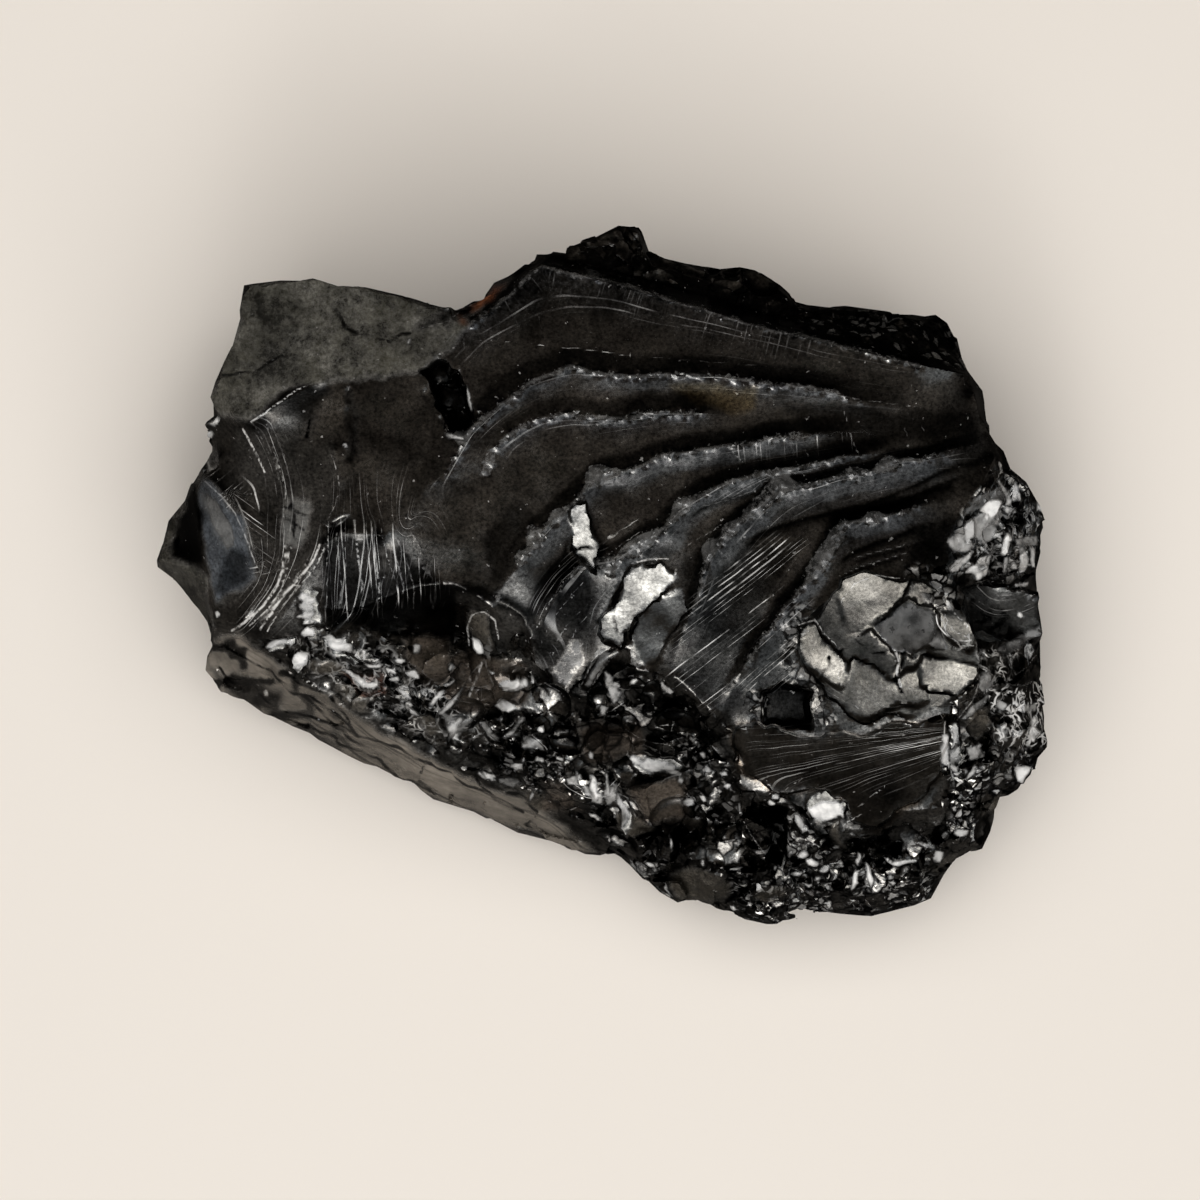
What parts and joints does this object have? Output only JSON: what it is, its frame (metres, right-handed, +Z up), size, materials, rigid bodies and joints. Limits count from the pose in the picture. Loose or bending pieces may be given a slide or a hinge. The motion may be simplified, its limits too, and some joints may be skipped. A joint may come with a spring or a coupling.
{
  "type": "raw shungite stone",
  "caption": "Raw lump of glassy black noble shungite, with shell-shaped fracture waves, a smooth grey facet, crumbly slopes and a flat underside that it rests on.",
  "frame": {"origin": "centre of the stone's bounding box in plan, on the surface that it rests on", "axes": "+X along the stone's longest extent, from the pointed tip to the crumbly end; +Y towards the peaked edge; +Z up, out of the wavy fracture face"},
  "size_m": [0.0746, 0.0586, 0.0262],
  "materials": {
    "shungite": "glassy black to dark brown-grey, natural fracture, mirror-bright on fresh chips and silky on the broad faces"
  },
  "bodies": {
    "root": {"stone": "shungite"}
  },
  "joints": []
}
